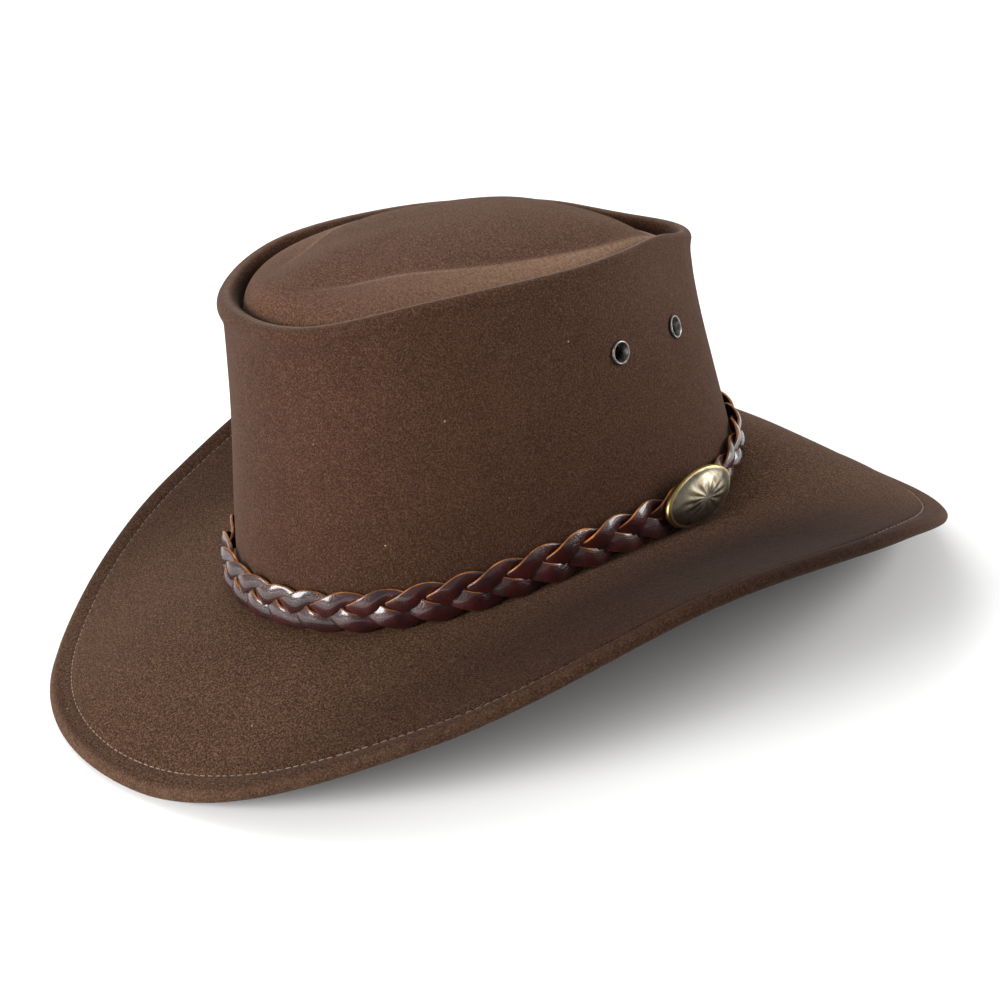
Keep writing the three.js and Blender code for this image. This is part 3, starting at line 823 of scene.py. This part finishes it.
def strapSection(number):
    period = bandLengths[-1] / plait["periods"]

    def section(t):
        share = t / (2 * math.pi)
        drawn = share + plait["tightening"] * math.sin(2 * math.pi * (share - plait["tightAt"]))
        phase = 2 * math.pi * (drawn * plait["periods"] + number / plait["strands"])
        point, turn = onBand(share)
        before, after = onBand(share - plait["nearby"])[0], onBand(share + plait["nearby"])[0]
        along = (after - before).normalized()
        out = along.cross(wallFrame(turn, plait["lineShare"])[2]).normalized()
        lay = out.cross(along).normalized()
        scale = 1 + (plait["behindScale"] - 1) * behind(turn)
        swing = plait["swing"] * scale
        side = swing * (math.sin(phase) + plait["sharp"] * math.sin(3 * phase))
        slope = 2 * math.pi * swing / period * (math.cos(phase) + 3 * plait["sharp"] * math.cos(3 * phase))
        half = plait["width"] / 2 * scale * math.hypot(1, slope)
        rise = plait["rise"] * scale * math.sin(2 * phase)
        tilt = plait["tilt"] * (math.cos(phase) + math.cos(3 * phase))
        thick = plait["thickness"] / 2

        def corner(across, face, cut=0):
            # across and face run from -1 to 1 over the strap's width and thickness; cut marks a raw edge
            domed = plait["domed"] * (1 - across * across)
            raised = rise + tilt * across * half + face * thick + domed
            return point + lay * (side + across * half) + out * raised, cut

        top = [corner(across, 1) for across in (-0.9, -0.6, -0.2, 0.2, 0.6, 0.9)]
        upper = [corner(0.965, 0.96, 1), corner(1, 0.55, 1), corner(1, -0.35, 1), corner(0.985, -0.8)]
        low = [corner(across, -1) for across in (0.9, 0.4, -0.4, -0.9)]
        lower = [corner(-0.985, -0.8), corner(-1, -0.35, 1), corner(-1, 0.55, 1), corner(-0.965, 0.96, 1)]
        return top + upper + low + lower
    return section


strapFace = groupMaterial(
    "strap_leather", {"Specular IOR Level": 0.3, "Coat Weight": 0.9, "Coat Roughness": 0.12}, grainGroup,
    {"Colour": plait["colour"], "Second Colour": plait["second"], "Grain Size": plait["grain"],
     "Polish": 0.3}, 0.12, 0.5)
strapEdge = groupMaterial(
    "strap_cut_edge", {"Specular IOR Level": 0.2}, grainGroup,
    {"Colour": plait["edge"], "Second Colour": plait["edgeShade"], "Grain Size": plait["edgeGrain"],
     "Polish": 0.75}, 0.15, 0.6)
for number in range(plait["strands"]):
    strap = sewnRing(f"band_strap_{number + 1}", plait["periods"] * plait["stations"], strapSection(number))
    strap.data.materials.append(strapFace)
    strap.data.materials.append(strapEdge)
    wear = strap.data.attributes["wear"].data
    for face in strap.data.polygons:
        if all(wear[i].value > 0.5 for i in face.vertices):
            face.material_index = 1
    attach(strap, "root")
    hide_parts(f"band_strand_{number + 1}")
print("hat: band of", plait["strands"], "straps")

badge = {
    "angle": 117.3, "lift": 9.65, "turn": 2.9, "spin": 3.5, "away": 6.55, "halfLength": 17.7, "halfHeight": 10,
    # radius as a share of the half height, and height in millimetres, from the back to the middle of the dome
    "rows": [(0, 0), (0.55, 0), (0.9, 0), (0.96, 0.12), (0.995, 0.6), (1, 1.2), (0.997, 1.8), (0.98, 2.3),
             (0.955, 2.62), (0.93, 2.72), (0.905, 2.68), (0.88, 2.95), (0.82, 3.6), (0.74, 4.2), (0.66, 4.6),
             (0.58, 4.95), (0.5, 5.25), (0.42, 5.52), (0.34, 5.75), (0.26, 5.93), (0.18, 6.06), (0.1, 6.16),
             (0, 6.2)],
    "spins": 96, "rimWearAt": 0.97, "rimWearWidth": 0.04, "rimWearAbove": 0.4,
    "petals": 12, "petalRelief": 0.12, "petalMiddle": 0.44, "petalSpread": 0.22, "petalShine": 0.2,
    "petalsAbove": 2.5, "petalsFrom": 0.05,
    "metal": rgb(0.24, 0.21, 0.155), "tarnish": rgb(0.03, 0.025, 0.018), "rubbed": rgb(0.4, 0.27, 0.085),
    "age": 0.95, "blotchSize": 130.0, "polish": 0.27,
}


def badgeFrame():
    angle = math.radians(badge["angle"])
    out, up, along = wallFrame(angle, plait["lineShare"])[1:]
    stand = standOn(wallPoint(angle, 0) + up * badge["lift"] + out * badge["away"], out, up, along)
    turn = Matrix.Rotation(math.radians(-badge["turn"]), 4, "Y")
    return stand @ turn @ Matrix.Rotation(math.radians(badge["spin"]), 4, "Z")


def chasePetals(mesh, wear):
    # a ring of petals raised on the dome of the badge, bright on their crests
    for vert in mesh.verts:
        share = math.hypot(vert.co.x, vert.co.y) / (badge["halfHeight"] * mm)
        if vert.co.z > badge["petalsAbove"] * mm and share > badge["petalsFrom"]:
            crest = math.cos(badge["petals"] * math.atan2(vert.co.y, vert.co.x))
            near = bump(badge["petalMiddle"], badge["petalSpread"], share)
            vert.co.z += badge["petalRelief"] * mm * crest * near
            vert[wear] = max(vert[wear], badge["petalShine"] * near * max(0, crest))


def badgePlate():
    mesh = bmesh.new()
    wear = mesh.verts.layers.float.new("wear")
    line = [mesh.verts.new((r * badge["halfHeight"] * mm, 0, h * mm)) for r, h in badge["rows"]]
    for vert, (r, h) in zip(line, badge["rows"]):
        vert[wear] = bump(badge["rimWearAt"], badge["rimWearWidth"], r) if h > badge["rimWearAbove"] else 0
    edges = [mesh.edges.new(pair) for pair in zip(line, line[1:])]
    bmesh.ops.spin(mesh, geom=line + edges, cent=(0, 0, 0), axis=(0, 0, 1), angle=2 * math.pi,
                   steps=badge["spins"], use_merge=True)
    bmesh.ops.remove_doubles(mesh, verts=mesh.verts, dist=0.01 * mm)
    chasePetals(mesh, wear)
    bmesh.ops.scale(mesh, vec=(badge["halfLength"] / badge["halfHeight"], 1, 1), verts=mesh.verts)
    bmesh.ops.transform(mesh, matrix=badgeFrame(), verts=mesh.verts)
    bmesh.ops.recalc_face_normals(mesh, faces=mesh.faces)
    piece = toObject("badge_plate", mesh)
    refine(piece, 1)
    return piece


plate = badgePlate()
plate.data.materials.append(groupMaterial("badge_brass", {"Metallic": 1.0}, patinaGroup, {
    "Metal": badge["metal"], "Tarnish": badge["tarnish"], "Rubbed Metal": badge["rubbed"],
    "Age": badge["age"], "Blotch Size": badge["blotchSize"], "Polish": badge["polish"]}, 0.03, 0.4))
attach(plate, "root")
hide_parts("badge")
print("hat: badge")

eyelet = {
    # radius and height above the wall, in millimetres, round the ring's section
    "rows": [(2.6, -2.9), (4.1, -2.9), (4.2, -2.6), (4.1, -2.32), (3.3, -2.3), (3.3, 0.3), (4.3, 0.3), (4.5, 0.45),
             (4.46, 0.75), (4.25, 1.05), (3.95, 1.15), (3.65, 1.0), (3.45, 0.6), (3.2, 0), (2.95, -0.6), (2.7, -1.5)],
    "spins": 32, "metal": rgb(0.3, 0.28, 0.27), "tarnish": rgb(0.04, 0.034, 0.03), "age": 0.7,
    "blotchSize": 400.0, "polish": 0.32,
}
eyeletMetal = groupMaterial("eyelet_nickel", {"Metallic": 1.0}, patinaGroup, {
    "Metal": eyelet["metal"], "Tarnish": eyelet["tarnish"], "Rubbed Metal": eyelet["metal"],
    "Age": eyelet["age"], "Blotch Size": eyelet["blotchSize"], "Polish": eyelet["polish"]}, 0.03, 0.4)
for name, angle in vents["angles"].items():
    mesh = bmesh.new()
    line = [mesh.verts.new((r * mm, 0, h * mm)) for r, h in eyelet["rows"]]
    edges = [mesh.edges.new(pair) for pair in zip(line, line[1:] + line[:1])]
    bmesh.ops.spin(mesh, geom=line + edges, cent=(0, 0, 0), axis=(0, 0, 1), angle=2 * math.pi,
                   steps=eyelet["spins"], use_merge=True)
    bmesh.ops.transform(mesh, matrix=eyeletFrame(angle), verts=mesh.verts)
    bmesh.ops.recalc_face_normals(mesh, faces=mesh.faces)
    ring = toObject("ring_" + name, mesh)
    refine(ring, 1)
    ring.data.materials.append(eyeletMetal)
    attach(ring, "root")
    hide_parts(name)
print("hat: eyelets")

# floor, light and camera
studio = {"floorSize": 14, "floorColour": rgb(0.9, 0.9, 0.895), "world": 0.45, "aim": (0, 0, 0.07), "lights": [
    {"name": "left_soft", "place": (0.3, -1.5, 0.65), "size": 0.8, "power": 39},
    {"name": "right_soft", "place": (0.55, 1.4, 0.55), "size": 0.9, "power": 25},
    {"name": "back_soft", "place": (-2.4, 0.2, 2.2), "size": 3.0, "power": 78},
]}
camera = {"azimuth": 66.30, "elevation": 22.79, "roll": -8.16, "distance": 0.70309,
          "target": (0.01515, 0.00125, 0.04528), "lens": 64.57, "sensor": 36}

floorMesh = bmesh.new()
bmesh.ops.create_grid(floorMesh, x_segments=1, y_segments=1, size=studio["floorSize"] / 2)
floor = toObject("floor", floorMesh, smooth=False)
floor.data.materials.append(newMaterial("floor_paper", {"Base Color": studio["floorColour"], "Roughness": 0.9})[0])

world = bpy.data.worlds.new("studio")
world.use_nodes = True
feed(world.node_tree, world.node_tree.nodes["Background"], {"Color": rgb(1, 1, 1), "Strength": studio["world"]})
bpy.context.scene.world = world
bpy.context.scene.view_settings.view_transform = "Standard"   # plain colours, as in the photograph
for given in studio["lights"]:
    light = bpy.data.lights.new(given["name"], "AREA")
    light.size = given["size"]
    light.energy = given["power"]
    lamp = bpy.data.objects.new(given["name"], light)
    lamp.location = given["place"]
    lamp.rotation_euler = (Vector(studio["aim"]) - lamp.location).to_track_quat("-Z", "Y").to_euler()
    bpy.context.scene.collection.objects.link(lamp)

azimuth, elevation, roll = (math.radians(camera[key]) for key in ("azimuth", "elevation", "roll"))
level, steep = math.cos(elevation), math.sin(elevation)
back = Vector((math.sin(azimuth) * level, -math.cos(azimuth) * level, steep))
right = Vector((math.cos(azimuth), math.sin(azimuth), 0))
up = back.cross(right)
across = right * math.cos(roll) + up * math.sin(roll)
upright = up * math.cos(roll) - right * math.sin(roll)
lens = bpy.data.cameras.new("photo_camera")
lens.lens = camera["lens"]
lens.sensor_width = camera["sensor"]
eye = bpy.data.objects.new("photo_camera", lens)
stand = Matrix.Translation(Vector(camera["target"]) + back * camera["distance"])
eye.matrix_world = stand @ Matrix((across, upright, back)).transposed().to_4x4()
bpy.context.scene.collection.objects.link(eye)
bpy.context.scene.camera = eye

print("hat: done")
